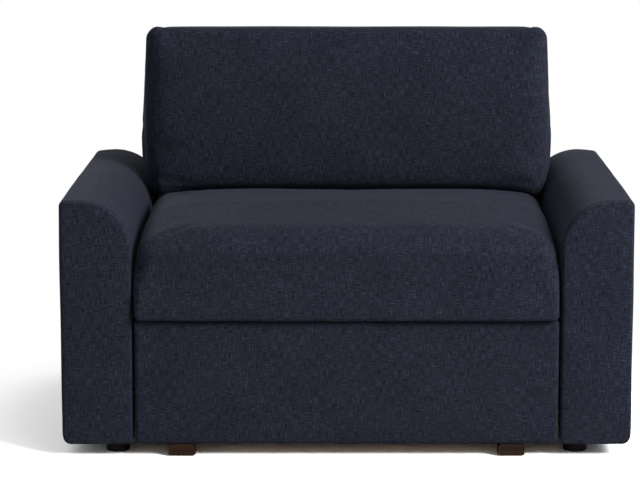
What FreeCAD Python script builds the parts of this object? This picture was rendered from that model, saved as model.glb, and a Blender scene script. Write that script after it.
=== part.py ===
"""A convertible chair bed: an armchair whose seat rolls forward and unfolds into a single bed.

+X points to the right as seen from the front, -Y to the front and +Z up, in millimetres. The origin is
on the floor under the middle of the chair. Left and right are as seen from the front.

How it opens: a pair of swing arms turns about a corner pivot low at the back. Their free ends carry the
head section at its middle, so the foot of that section slides forward along the bed's height while its
top slides down behind the back cushion. The middle section, with the front panel and its wooden feet,
is hinged to the foot of the head section and rolls forward on two side tracks. The foot section carries
the seat cushion on its back and turns over at the front, and its two legs swing down.
"""

import FreeCAD
import Part
import math
import os
import re

# Driving dimensions
SIZES = {
    # arms
    "seat_space": 988,
    "arm_thickness": 166,
    "arm_depth": 950,
    "arm_height": 598,
    "floor_gap": 29,
    "arm_inner_round": 115,
    "arm_outer_round": 14,
    "arm_low_round": 20,
    "arm_rear_round": 12,
    "arm_padding": 12,
    "facing_depth": 14,
    "facing_step": 1.5,
    "facing_edge": 5,
    # timber
    "board": 12,
    "end_board": 18,
    "base_board": 8,
    "rail_depth": 40,
    "rail_height": 60,
    "rail_rise": 11,
    "front_rail_setback": 50,
    # feet
    "foot_radius": 28,
    "foot_inset_side": 41,
    "foot_inset_end": 75,
    "foot_chamfer": 2,
    "wood_foot_width": 62,
    "wood_foot_depth": 48,
    "wood_foot_inset": 108,
    "wood_foot_setback": 5,
    "wood_foot_shoulder": 7,
    "glide": 3,
    "glide_inset": 6,
    # bolts that hold the arms to the base rails
    "bolt_radius": 4,
    "bolt_head_radius": 8,
    "bolt_head": 5,
    "bolt_grip": 38,
    "bolt_setback": 10,
    # back
    "back_setback": 35,
    "post_width": 40,
    "post_depth": 25,
    "head_room": 7.5,
    "back_rail": 38,
    "back_padding": 22,
    "back_cap": 14,
    "back_round": 8,
    "cap_reveal": 23.5,
    "wing_board": 10,
    "wing_cover": 8,
    "wing_reveal": 4.5,
    "wing_gap": 4.2,
    "wing_edge": 8,
    "wing_round": 7,
    "cover_gap": 0.3,
    "arm_top_gap": 2,
    # bed sections
    "fold_height": 325.5,
    "seam_gap": 5,
    "fold_reach": 9,
    "corner_setback": 145,
    "head_length": 570,
    "pad_thickness": 90,
    "pad_round": 12,
    "end_gap": 1,
    "rail_gap": 8,
    "plate_inset": 3.5,
    "tube": 25,
    "cross_rail_inset": 60,
    "cheek": 5.5,
    "side_gap": 2,
    "plate_gap": 0.5,
    "boss_radius": 8,
    "hinge_plate_width": 40,
    # front panel
    "side_clearance": 4,
    "panel_depth": 38,
    "panel_board": 18,
    "panel_skin": 6,
    "panel_round": 9,
    # swing arms
    "pin_radius": 5,
    "running_clearance": 0.05,
    "swing_plate": 6,
    "swing_width": 20,
    "swing_inset": 8,
    "bracket_size": 70,
    "bracket_plate": 3,
    "collar_radius": 9,
    "collar_gap": 0.3,
    "clip": 2.5,
    # rollers and tracks
    "roller_radius": 18,
    "roller_width": 11,
    "roller_setback": 35,
    "roller_side_gap": 2,
    "roller_gap": 0.2,
    "track_width": 18,
    "track_sheet": 3,
    "track_drop": 24,
    "track_margin": 30,
    # seat cushion
    "seat_bulge": 12,
    "seat_back_gap": 2,
    "seat_front_height": 196,
    "seat_rear_height": 213,
    "seat_crown": 10,
    "seat_edge_round": 80,
    "seat_front_round": 26,
    "seat_round_depth": 24,
    "seat_lip_round": 10,
    "seat_sag": 4,
    "pocket_gap": 0.3,
    # foot section
    "end_rail_reveal": 2,
    "foot_pad_gap": 2,
    "end_rail_depth": 20,
    "leaf": 1.5,
    "leaf_depth": 30,
    "leaf_width": 90,
    "upper_knuckle": 30,
    "knuckle_radius": 3,
    "knuckle_pin_radius": 1.5,
    "knuckle_gap": 0.3,
    "hinge_offset": 300,
    # folding legs
    "leg_radius": 10,
    "leg_pivot_inset": 72,
    "leg_gap": 3,
    "leg_overhang": 14,
    "leg_tip": 14,
    "leg_tip_radius": 12,
    # back cushion
    "cushion_depth": 232.2,
    "cushion_height": 395,
    "cushion_gap": 2,
    "cushion_crown": 18,
    "cushion_edge": 34,
    "cushion_corner": 40,
    "cushion_draw": 14,
    "cushion_chamfer_width": 50,
    "cushion_chamfer_depth": 44,
    "rest_gap": 0.3,
}

# Places worked out from the sizes
PLACES = {
    "arm_in": "seat_space / 2",
    "arm_out": "seat_space / 2 + arm_thickness",
    "front": "-arm_depth / 2",
    "rear": "arm_depth / 2",
    "facing_back": "front + facing_depth",
    "frame_in": "arm_in + arm_padding",
    "frame_out": "arm_out - arm_padding",
    "frame_rear": "rear - arm_padding",
    "base_top": "floor_gap + base_board",
    "rail_low": "floor_gap + rail_rise",
    "rail_high": "floor_gap + rail_rise + rail_height",
    "front_rail_low": "front + front_rail_setback",
    "front_rail_high": "front + front_rail_setback + rail_depth",
    "rear_rail_low": "post_back - rail_depth",
    # the corner pivot, and the line that the front fold turns about
    "corner": "rear - corner_setback",
    "fold": "front - fold_reach",
    "bed_top": "fold_height - seam_gap / 2",
    "seat_base": "fold_height + seam_gap / 2",
    # the head section, upright behind the back cushion
    "carry_height": "fold_height + head_length / 2",
    "head_low": "fold_height + end_gap",
    "head_high": "fold_height + head_length",
    "head_face": "corner + seam_gap / 2",
    "head_pad_back": "head_face + pad_thickness",
    "head_back": "head_pad_back + board",
    # side by side at each hinge: the pad, the head section's cheek, the hinge plate and the swing arm
    "rail_half_width": "swing_in - rail_gap",
    "plate_out": "rail_half_width - plate_inset",
    "plate_in": "plate_out - cheek",
    "cheek_out": "plate_in - plate_gap",
    "cheek_in": "cheek_out - cheek",
    "pad_half_width": "cheek_in - side_gap",
    # the back
    "back_top": "head_high + head_room",
    "wing_front": "head_face + wing_reveal",
    "cap_front": "head_face + cap_reveal",
    "post_front": "rear - back_setback",
    "post_back": "post_front + post_depth",
    "back_rear": "post_back + back_padding",
    "wing_out": "arm_in + wing_board + wing_cover",
    "wing_run": "arm_inner_round - wing_board - wing_cover",
    "wing_bottom": "arm_height - arm_inner_round + sqrt(arm_inner_round ^ 2 - wing_run ^ 2) + wing_gap",
    "back_high": "back_top + back_cap",
    "back_split": "arm_height + arm_top_gap",
    # the middle section
    "board_high": "bed_top - pad_thickness",
    "board_low": "board_high - board",
    "tube_low": "board_low - tube",
    "rail_in": "rail_half_width - tube",
    "panel_back": "front + panel_depth",
    "panel_board_front": "panel_back - panel_board",
    "panel_half_width": "arm_in - side_clearance",
    "wood_foot_place": "panel_half_width - wood_foot_inset",
    "middle_rear": "corner - boss_radius - end_gap",
    "roller_place": "corner - roller_setback",
    "roller_height": "board_low - tube / 2",
    "roller_in": "rail_half_width + roller_side_gap",
    "roller_out": "roller_in + roller_width",
    "track_front": "roller_place - head_length - track_margin",
    "track_top": "roller_height - roller_radius - roller_gap",
    # the swing arms
    "swing_out": "arm_in - swing_inset",
    "swing_in": "swing_out - swing_plate",
    # the foot section, upside down under the seat cushion
    "foot_pad_top": "seat_base + pad_thickness",
    "foot_top": "foot_pad_top + board",
    "front_rail_back": "front + end_board",
    "end_rail_front": "foot_end - end_rail_depth",
    "leg_pivot": "rail_half_width - leg_pivot_inset",
    "leg_height": "foot_top - tube / 2",
    "leg_line": "foot_end + leg_gap + leg_radius",
    "leg_length": "2 * fold_height - leg_height",
    "foot_end": "seat_rear + end_rail_reveal",
    # the seat and back cushions
    "seat_edge_top": "seat_base + seat_front_height",
    "seat_rear_top": "seat_base + seat_rear_height",
    "seat_rear": "cushion_front - seat_back_gap",
    "cushion_back": "head_face - rest_gap",
    "cushion_front": "cushion_back - cushion_depth",
    "cushion_bottom": "seat_rear_top + seat_crown + cushion_gap",
    "cushion_top": "cushion_bottom + cushion_height",
}

PARTS_FOLDER = "parts"
NEAR = 0.001
ROUND_STEPS = 4
CENTRE = FreeCAD.Vector(0, 0, 0)
AXES = {"x": FreeCAD.Vector(1, 0, 0), "y": FreeCAD.Vector(0, 1, 0), "z": FreeCAD.Vector(0, 0, 1)}

doc = FreeCAD.newDocument("chair_bed")
sheet = doc.addObject("Spreadsheet::Sheet", "sizes")
for row, (alias, size) in enumerate(SIZES.items(), 1):
    sheet.set(f"A{row}", str(size))
    sheet.setAlias(f"A{row}", alias)
doc.recompute()

nodes = []


# Formulas, written with the names of sizes and places

def formula(text):
    """Write the names in a text as cells of the sheet."""
    return re.sub(r"[a-z_]+", lambda word: cell(word.group()), str(text))


def cell(name):
    """One name as a cell, or as the formula of the place that it names."""
    if name in PLACES:
        return "(" + formula(PLACES[name]) + ")"
    return "sizes." + name if name in SIZES else name


def value(text):
    """The number that a formula gives."""
    result = sheet.evalExpression(formula(text))
    return float(getattr(result, "Value", result))


# Building blocks

def box(name, x, y, z):
    """A block between a low and a high value along x, y and z."""
    block = doc.addObject("Part::Box", name)
    place_box(block, x, y, z)
    return block


def place_box(block, x, y, z):
    """Bind a block's size and place to the sheet."""
    for side, axis, (low, high) in zip(("Length", "Width", "Height"), AXES, (x, y, z)):
        block.setExpression(side, formula(f"({high}) - ({low})"))
        block.setExpression(f"Placement.Base.{axis}", formula(low))


def rod(name, axis, centre, radius, span):
    """A round bar along an axis, with the other two coordinates of its centre line."""
    bar = doc.addObject("Part::Cylinder", name)
    bar.Placement = FreeCAD.Placement(CENTRE, FreeCAD.Rotation(AXES["z"], AXES[axis]))
    low, high = span
    bar.setExpression("Radius", formula(radius))
    bar.setExpression("Height", formula(f"({high}) - ({low})"))
    places = dict(zip([other for other in AXES if other != axis], centre))
    places[axis] = low
    for other, place in places.items():
        bar.setExpression(f"Placement.Base.{other}", formula(place))
    return bar


def edges_on(shape, places):
    """The straight edges where two given faces meet, such as {"x": 1, "z": 2}, or all edges of one face."""
    found = []
    for number, edge in enumerate(shape.Edges, 1):
        ends = [vertex.Point for vertex in edge.Vertexes]
        offsets = [getattr(end, axis) - place for end in ends for axis, place in places.items()]
        straight = edge.Curve.TypeId == "Part::GeomLine"
        if (straight or len(places) == 1) and max(abs(offset) for offset in offsets) < NEAR:
            found.append(f"Edge{number}")
    return found


def rounded(name, x, y, z, rounds):
    """A block with rounded edges. Each round has a radius and the faces whose shared edge it takes."""
    body = doc.addObject("PartDesign::Body", name)
    last = body.newObject("PartDesign::AdditiveBox", f"{name}_block")
    place_box(last, x, y, z)
    doc.recompute()
    for number, (radius, *edges) in enumerate(rounds):
        names = []
        for places in edges:
            names += edges_on(last.Shape, {axis: value(place) for axis, place in places.items()})
        fillet = body.newObject("PartDesign::Fillet", f"{name}_round_{number}")
        fillet.Base = (last, names)
        fillet.setExpression("Radius", formula(radius))
        last.Visibility = False
        last = fillet
        doc.recompute()
    return body


def cut(name, base, *tools):
    """A piece with other pieces cut away from it."""
    result = doc.addObject("Part::Cut", name)
    result.Base = base
    result.Tool = tools[0] if len(tools) == 1 else fused(f"{name}_cutters", *tools)
    return result


def fused(name, *pieces):
    """Pieces joined into one solid."""
    result = doc.addObject("Part::MultiFuse", name)
    result.Shapes = list(pieces)
    return result


def group(name, *pieces):
    """Separate solids in one piece."""
    result = doc.addObject("Part::Compound", name)
    result.Links = list(pieces)
    return result


def mirrored(name, source):
    """The same piece on the other side of the chair."""
    twin = doc.addObject("Part::Mirroring", name)
    twin.Source = source
    twin.Base = CENTRE
    twin.Normal = AXES["x"]
    return twin


def pair(name, source):
    """A piece and its twin on the left, in one node."""
    return keep(group(name, source, mirrored(f"{name}_left", source)))


def keep(piece, label=None):
    """Count a finished piece as a node."""
    piece.Label = label or piece.Name
    nodes.append(piece)
    return piece


def both(name, piece):
    """A right-hand piece as a node, and its twin as the left one."""
    keep(piece, f"right_{name}")
    keep(mirrored(f"left_{name}", piece))


# Arms

def top_rounds(inset):
    """The rounds along an arm's top, for a layer that lies that far inside it."""
    top = f"arm_height - {inset}"
    return [
        (f"arm_inner_round - {inset}", {"x": f"arm_in + {inset}", "z": top}),
        (f"arm_outer_round - {inset} / 2", {"x": f"arm_out - {inset}", "z": top}),
    ]


def low_round(inset):
    """The round along an arm's outer bottom edge."""
    return (f"arm_low_round - {inset}", {"x": f"arm_out - {inset}", "z": "floor_gap"})


def arm_cover():
    """The padded fabric round an arm, open underneath."""
    x, z = ("arm_in", "arm_out"), ("floor_gap", "arm_height")
    rounds = top_rounds("0") + [low_round("0"), ("arm_rear_round", {"y": "rear"})]
    outside = rounded("arm_shape", x, ("facing_back", "rear"), z, rounds)
    room_x = ("frame_in", "frame_out")
    room_z = ("floor_gap", "arm_height - arm_padding")
    room = rounded("arm_room", room_x, ("facing_back", "frame_rear"), room_z, top_rounds("arm_padding"))
    both("arm_cover", cut("right_arm_cover", outside, room, bolt_hole("arm_bolt_holes")))


def arm_facing():
    """The flat panel that closes an arm's front, set in a little behind its seam."""
    x = ("arm_in + facing_step", "arm_out - facing_step")
    z = ("floor_gap", "arm_height - facing_step")
    rounds = top_rounds("facing_step") + [low_round("facing_step"), ("facing_edge", {"y": "front"})]
    both("arm_facing", rounded("right_arm_facing", x, ("front", "facing_back"), z, rounds))


def bolt_hole(name):
    """The bolts' way from inside an arm into the ends of the base rails."""
    return group(name, *[bolt_shank(f"{name}_{rail}", rail, "frame_in + board") for rail in RAIL_LINES])


RAIL_LINES = {
    "front": "(front_rail_low + front_rail_high) / 2",
    "rear": "rear_rail_low + bolt_setback",
}


def bolt_shank(name, rail, outer_end):
    """One bolt's shank, from an arm's inner board into a rail."""
    middle = "(rail_low + rail_high) / 2"
    return rod(name, "x", (RAIL_LINES[rail], middle), "bolt_radius", ("arm_in - bolt_grip", outer_end))


def arm_frame():
    """The timber inside an arm: two end boards, two side boards and a rail under the top."""
    side_y = ("facing_back + end_board", "frame_rear - end_board")
    inner_top = "arm_height - arm_inner_round"
    outer_top = "arm_height - arm_padding"
    end_x = ("frame_in", "frame_out")
    end_z = ("base_top", inner_top)
    pieces = [
        box("arm_front_board", end_x, ("facing_back", "facing_back + end_board"), end_z),
        box("arm_rear_board", end_x, ("frame_rear - end_board", "frame_rear"), end_z),
        box("arm_outer_board", ("frame_out - board", "frame_out"), side_y, ("base_top", inner_top)),
        box("arm_top_rail", ("arm_in + arm_inner_round", "frame_out - board"), side_y,
            (f"{outer_top} - end_board", outer_top)),
        box("arm_side_rail", ("frame_out - board", "frame_out"), side_y,
            (inner_top, "arm_height - arm_padding - arm_outer_round")),
    ]
    inner = box("arm_inner_blank", ("frame_in", "frame_in + board"), side_y, end_z)
    pieces.append(cut("arm_inner_board", inner, bolt_hole("board_bolt_holes")))
    both("arm_frame", group("right_arm_frame", *pieces))


def arm_bases():
    """The board that closes each arm underneath, between the edges of its cover."""
    base = box("arm_base", ("frame_in", "arm_out - arm_low_round"), ("facing_back", "frame_rear"),
               ("floor_gap", "base_top"))
    pair("arm_bases", base)


def arm_feet():
    """A round foot near each end of both arms."""
    feet = []
    for end, place in (("front", "front + foot_inset_end"), ("rear", "rear - foot_inset_end")):
        centre = ("arm_in + foot_inset_side", place)
        upper = rod(f"foot_{end}", "z", centre, "foot_radius", ("foot_chamfer", "floor_gap"))
        lower = rod(f"foot_{end}_tread", "z", centre, "foot_radius - foot_chamfer", ("0", "foot_chamfer"))
        feet.append(fused(f"arm_foot_{end}", upper, lower))
    pair("arm_feet", group("right_arm_feet", *feet))


# Base and back

def base_rails():
    """The two rails that hold the arms together near the floor."""
    spans = {"front": ("front_rail_low", "front_rail_high"), "rear": ("rear_rail_low", "post_back")}
    for rail, span in spans.items():
        blank = box(f"{rail}_rail_blank", ("-arm_in", "arm_in"), span, ("rail_low", "rail_high"))
        hole = bolt_shank(f"{rail}_rail_hole", rail, "frame_in")
        holes = group(f"{rail}_rail_holes", hole, mirrored(f"{rail}_rail_hole_left", hole))
        keep(cut(f"base_{rail}_rail", blank, holes))


def arm_bolts():
    """The bolts that hold the arms on the base rails, with their heads inside the arms."""
    bolts = []
    for rail, line in RAIL_LINES.items():
        shank = bolt_shank(f"{rail}_shank", rail, "frame_in + board")
        head = rod(f"{rail}_head", "x", (line, "(rail_low + rail_high) / 2"), "bolt_head_radius",
                   ("frame_in + board", "frame_in + board + bolt_head"))
        bolts.append(fused(f"{rail}_bolt", shank, head))
    pair("arm_bolts", group("right_arm_bolts", *bolts))


def back_frame():
    """Two posts on the rear base rail, with a rail between their tops."""
    y = ("post_front", "post_back")
    pair("back_posts", box("back_post", ("arm_in - post_width", "arm_in"), y, ("rail_high", "back_top")))
    x = ("post_width - arm_in", "arm_in - post_width")
    keep(box("back_top_rail", x, y, ("back_top - back_rail", "back_top")))


def back_covers():
    """The padded back: a panel between the arms, a wider one above them and a cap over both."""
    y = ("post_back", "back_rear")
    inner, outer = "arm_in - cover_gap", "wing_out"
    low_edges = ("back_round", {"y": "back_rear", "z": "floor_gap"})
    keep(rounded("back_lower_cover", (f"-({inner})", inner), y, ("floor_gap", "back_split"), [low_edges]))
    side_edges = [("back_round", {"x": f"{sign}wing_out", "y": "back_rear"}) for sign in ("", "-")]
    keep(rounded("back_upper_cover", (f"-{outer}", outer), y, ("back_split", "back_top"), side_edges))
    cap_y = ("cap_front", "back_rear")
    cap_edges = [("back_round", {"y": "back_rear", "z": "back_high"}, {"y": "cap_front", "z": "back_high"})]
    keep(rounded("back_cap", (f"-{outer}", outer), cap_y, ("back_top", "back_high"), cap_edges))


def back_wings():
    """The sides of the back above the arms: a board on each post, and its cover."""
    z = ("wing_bottom", "back_top")
    board_x, board_y = ("arm_in", "arm_in + wing_board"), ("wing_front + wing_edge", "post_back")
    pair("wing_boards", box("wing_board", board_x, board_y, z))
    blank = rounded("wing_blank", ("arm_in", "wing_out"), ("wing_front", "post_back"), z,
                    [("wing_round", {"x": "wing_out", "y": "wing_front"})])
    pair("wing_covers", cut("wing_cover_shell", blank, box("wing_room", board_x, board_y, z)))


def long_edges(half, axis, faces):
    """The four long edges of a pad, at both sides and both faces."""
    return [{"x": f"{sign}{half}", axis: face} for sign in ("", "-") for face in faces]


# Swing arms and what they turn on

def swing_arms():
    """A flat steel arm on each side, from the corner pivot to the middle of the head section."""
    x = ("swing_in", "swing_out")
    half = "swing_width / 2"
    plate = box("swing_plate", x, (f"corner - {half}", f"corner + {half}"), ("fold_height", "carry_height"))
    ends = at_pivots("swing_end", half, x)
    bores = at_pivots("swing_bore", "pin_radius + running_clearance", x)
    both("swing_arm", cut("right_swing_arm", fused("swing_arm_blank", plate, *ends), *bores))


def at_pivots(name, radius, x):
    """A round bar across the chair at the foot of the head section and another at its middle."""
    places = ("fold_height", "carry_height")
    return [rod(f"{name}_{place}", "x", ("corner", place), radius, x) for place in places]


def pivot_brackets():
    """The plate on each arm that carries the corner pin, its collar and the clip on its end."""
    half = "bracket_size / 2"
    inner_face = "arm_in - bracket_plate"
    plate = box("bracket_plate", (inner_face, "arm_in"), (f"corner - {half}", f"corner + {half}"),
                (f"fold_height - {half}", f"fold_height + {half}"))
    centre = ("corner", "fold_height")
    collar = rod("corner_collar", "x", centre, "collar_radius", ("swing_out + collar_gap", inner_face))
    inner_end = "swing_in - collar_gap - clip"
    pin = rod("corner_pin", "x", centre, "pin_radius", (inner_end, inner_face))
    clip = rod("corner_clip", "x", centre, "collar_radius", (inner_end, "swing_in - collar_gap"))
    both("pivot_bracket", fused("right_pivot_bracket", plate, collar, pin, clip))


def clipped_pin(name, centre, start, bearing_end):
    """A fixed pin that ends in a clip just past the plate that turns on it."""
    clip_start = f"{bearing_end} + collar_gap"
    pin = rod(f"{name}_shank", "x", centre, "pin_radius", (start, f"{clip_start} + clip"))
    clip = rod(f"{name}_clip", "x", centre, "boss_radius", (clip_start, f"{clip_start} + clip"))
    return fused(name, pin, clip)


# Head section

def head_section():
    """The head mattress on its board, upright with its face to the front."""
    half = "pad_half_width"
    x, z = (f"-{half}", half), ("head_low", "head_high")
    y = ("head_face", "head_pad_back")
    keep(rounded("head_mattress", x, y, z, [("pad_round", *long_edges(half, "y", y))]))
    keep(box("head_board", ("-cheek_in", "cheek_in"), ("head_pad_back", "head_back"), z))
    x = ("cheek_in", "cheek_out")
    plate = box("cheek_plate", x, ("head_face", "head_back"), ("head_low", "carry_height + boss_radius"))
    bosses = at_pivots("cheek_boss", "boss_radius", x)
    holes = at_pivots("cheek_hole", "pin_radius", x)
    both("head_cheek", cut("right_head_cheek", fused("cheek_blank", plate, *bosses), *holes))
    ends = {"pivot": ("carry_height", "swing_out"), "hinge": ("fold_height", "plate_out")}
    for use, (height, bearing_end) in ends.items():
        pin = clipped_pin(f"head_{use}_pin", ("corner", height), "cheek_in", bearing_end)
        pair(f"head_{use}_pins", pin)


# Middle section

def middle_section():
    """The middle mattress on its board and steel rails."""
    half = "pad_half_width"
    x, y, z = (f"-{half}", half), ("panel_back + end_gap", "corner - end_gap"), ("board_high", "bed_top")
    keep(rounded("middle_mattress", x, y, z, [("pad_round", *long_edges(half, "z", z))]))
    y = ("panel_back", "middle_rear")
    keep(box("middle_board", x, y, ("board_low", "board_high")))
    x = ("rail_in", "rail_half_width")
    both("middle_rail", box("right_middle_rail", x, y, ("tube_low", "board_low")))
    places = ("panel_back + cross_rail_inset", "(panel_back + middle_rear - tube) / 2",
              "middle_rear - cross_rail_inset - tube")
    rails = [box(f"cross_rail_{number}", ("-rail_in", "rail_in"), (place, f"{place} + tube"),
                 ("tube_low", "board_low")) for number, place in enumerate(places)]
    keep(group("middle_cross_rails", *rails))


def hinge_plates():
    """The plates that stand on the middle rails and turn on the head section's hinge pins."""
    x = ("plate_in", "plate_out")
    plate = box("hinge_plate_blade", x, ("middle_rear - hinge_plate_width", "middle_rear"),
                ("board_low", "fold_height + boss_radius"))
    reach = box("hinge_plate_reach", x, ("middle_rear", "corner"),
                ("fold_height - boss_radius", "fold_height + boss_radius"))
    centre = ("corner", "fold_height")
    boss = rod("hinge_plate_boss", "x", centre, "boss_radius", x)
    bore = rod("hinge_plate_bore", "x", centre, "pin_radius + running_clearance", x)
    both("hinge_plate", cut("right_hinge_plate", fused("hinge_plate_blank", plate, reach, boss), bore))


def rollers():
    """The rear rollers on their axles, and the tracks that they run on."""
    centre = ("roller_place", "roller_height")
    x = ("roller_in", "roller_out")
    pair("roller_axles", clipped_pin("roller_axle", centre, "rail_half_width", "roller_out"))
    wheel = rod("roller_wheel", "x", centre, "roller_radius", x)
    bore = rod("roller_bore", "x", centre, "pin_radius + running_clearance", x)
    both("track_roller", cut("right_track_roller", wheel, bore))
    x, y = ("arm_in - track_width", "arm_in"), ("track_front", "roller_place + track_margin")
    shelf = box("track_shelf", x, y, ("track_top - track_sheet", "track_top"))
    web = box("track_web", ("arm_in - track_sheet", "arm_in"), y, ("track_top - track_drop", "track_top"))
    pair("side_tracks", fused("side_track", shelf, web))


def front_panel():
    """The board across the front of the middle section and the padded cover round it."""
    half = "panel_half_width"
    y, z = ("front", "panel_back"), ("floor_gap", "bed_top")
    edges = [{"x": f"{sign}{half}", "y": "front"} for sign in ("", "-")]
    edges += [{"y": "front", "z": level} for level in z]
    blank = rounded("panel_blank", (f"-{half}", half), y, z, [("panel_round", *edges)])
    board_x = (f"panel_skin - {half}", f"{half} - panel_skin")
    board_z = ("floor_gap + panel_skin", "bed_top - panel_skin")
    board = box("front_panel_board", board_x, ("panel_board_front", "panel_back"), board_z)
    room = box("panel_room", board_x, ("panel_board_front", "panel_back"), board_z)
    keep(cut("front_panel_cover", blank, room))
    keep(board)


def wooden_feet():
    """A wooden block under each end of the front panel, with sloping shoulders and a glide."""
    middle, half = "wood_foot_place", "wood_foot_width / 2"
    y = ("front + wood_foot_setback", "front + wood_foot_setback + wood_foot_depth")
    block = doc.addObject("PartDesign::Body", "right_wooden_foot")
    base = block.newObject("PartDesign::AdditiveBox", "wooden_foot_block")
    place_box(base, (f"{middle} - {half}", f"{middle} + {half}"), y, ("glide", "floor_gap"))
    doc.recompute()
    names = []
    for side in (f"{middle} - {half}", f"{middle} + {half}"):
        names += edges_on(base.Shape, {"x": value(side), "z": value("floor_gap")})
    shoulder = block.newObject("PartDesign::Chamfer", "wooden_foot_shoulders")
    shoulder.Base = (base, names)
    shoulder.setExpression("Size", formula("wood_foot_shoulder"))
    both("wooden_foot", block)
    x = (f"{middle} - {half} + glide_inset", f"{middle} + {half} - glide_inset")
    y = (f"{y[0]} + glide_inset", f"{y[1]} - glide_inset")
    pair("foot_glides", box("foot_glide", x, y, ("0", "glide")))


# Foot section

def foot_section():
    """The foot mattress, upside down under the seat cushion, with its board and end rails."""
    half = "rail_half_width"
    x = (f"-{half}", half)
    pad_half = f"({half} - foot_pad_gap)"
    pad_y = ("front_rail_back + end_gap", "end_rail_front - end_gap")
    pad_z = ("seat_base", "foot_pad_top")
    rounds = [("pad_round", *long_edges(pad_half, "z", pad_z))]
    keep(rounded("foot_mattress", (f"-{pad_half}", pad_half), pad_y, pad_z, rounds))
    keep(box("foot_board", x, ("front_rail_back", "end_rail_front"), ("foot_pad_top", "foot_top")))
    keep(box("foot_front_rail", x, ("front", "front_rail_back"), ("seat_base", "foot_top")))
    y = ("end_rail_front", "foot_end")
    rail = box("end_rail_blank", x, y, ("foot_top - tube", "foot_top"))
    hole = rod("end_rail_hole", "y", ("leg_pivot", "leg_height"), "pin_radius", y)
    keep(cut("foot_end_rail", rail, group("end_rail_holes", hole, mirrored("end_rail_hole_left", hole))))


def fold_hinges():
    """Butt hinges in the seam between the front panel and the seat."""
    lower, upper, pins = [], [], []
    for number, middle in enumerate(("-hinge_offset", "0", "hinge_offset")):
        lower.append(lower_leaf(f"lower_leaf_{number}", middle))
        upper.append(upper_leaf(f"upper_leaf_{number}", middle))
        ends = (f"{middle} - leaf_width / 2", f"{middle} + leaf_width / 2")
        pins.append(rod(f"fold_pin_{number}", "x", FOLD_LINE, "knuckle_pin_radius", ends))
    keep(group("lower_hinge_leaves", *lower))
    keep(group("upper_hinge_leaves", *upper))
    keep(group("fold_hinge_pins", *pins))


FOLD_LINE = ("fold", "fold_height")


def leaf(name, ends, z):
    """The flat of a hinge leaf, just behind the knuckles."""
    start = "fold + knuckle_radius + knuckle_gap"
    return box(name, ends, (start, f"{start} + leaf_depth"), z)


def knuckle(name, ends, bore, z):
    """A knuckle with the tongue that joins it to its leaf."""
    tongue = box(f"{name}_tongue", ends, ("fold", "fold + knuckle_radius + knuckle_gap"), z)
    barrel = rod(f"{name}_barrel", "x", FOLD_LINE, "knuckle_radius", ends)
    hole = rod(f"{name}_bore", "x", FOLD_LINE, bore, ends)
    return cut(name, fused(f"{name}_blank", tongue, barrel), hole)


def lower_leaf(name, middle):
    """The leaf on the front panel, with a knuckle at each end that holds the pin."""
    half, inner = f"{middle} + leaf_width / 2", f"{middle} + upper_knuckle / 2"
    low_half, low_inner = f"{middle} - leaf_width / 2", f"{middle} - upper_knuckle / 2"
    z = ("bed_top", "bed_top + leaf")
    flat = leaf(f"{name}_flat", (low_half, half), z)
    first = knuckle(f"{name}_first", (low_half, low_inner), "knuckle_pin_radius", z)
    second = knuckle(f"{name}_second", (inner, half), "knuckle_pin_radius", z)
    return fused(name, flat, first, second)


def upper_leaf(name, middle):
    """The leaf under the seat, with one knuckle between the other leaf's two."""
    z = ("seat_base - leaf", "seat_base")
    flat = leaf(f"{name}_flat", (f"{middle} - leaf_width / 2", f"{middle} + leaf_width / 2"), z)
    half = "(upper_knuckle / 2 - knuckle_gap)"
    ends = (f"{middle} - {half}", f"{middle} + {half}")
    return fused(name, flat, knuckle(f"{name}_knuckle", ends, "knuckle_pin_radius + running_clearance", z))


def folding_legs():
    """Two legs that lie across the foot section's end and swing down when it is turned over."""
    centre = ("leg_line", "leg_height")
    tip_start = "leg_pivot - leg_length + leg_tip"
    tube = rod("leg_tube", "x", centre, "leg_radius", (tip_start, "leg_pivot + leg_overhang"))
    depth = ("leg_line - leg_radius", "leg_line + leg_radius")
    bore = rod("leg_bore", "y", ("leg_pivot", "leg_height"), "pin_radius + running_clearance", depth)
    both("leg", cut("right_leg", tube, bore))
    tip = rod("right_leg_tip", "x", centre, "leg_tip_radius", ("leg_pivot - leg_length", tip_start))
    both("leg_tip", tip)
    head_start = "leg_line + leg_radius + collar_gap"
    pivot = ("leg_pivot", "leg_height")
    shank = rod("leg_bolt_shank", "y", pivot, "pin_radius", ("end_rail_front", head_start))
    head = rod("leg_bolt_head", "y", pivot, "collar_radius", (head_start, f"{head_start} + clip"))
    pair("leg_pivots", fused("leg_pivot_bolt", shank, head))


# Soft forms

def arc(start, middle, end):
    """A curved edge through three points."""
    return Part.Arc(start, middle, end).toShape()


def rounded_run(low, high, low_round, high_round):
    """Places along an edge that rounds off at both ends, each with how much of the round is left to go."""
    stops = []
    for step in range(ROUND_STEPS + 1):
        angle = math.pi / 2 * step / ROUND_STEPS
        stops.append((low + low_round * (1 - math.cos(angle)), 1 - math.sin(angle)))
    for step in reversed(range(ROUND_STEPS + 1)):
        angle = math.pi / 2 * step / ROUND_STEPS
        stops.append((high - high_round * (1 - math.cos(angle)), 1 - math.sin(angle)))
    return stops


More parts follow.
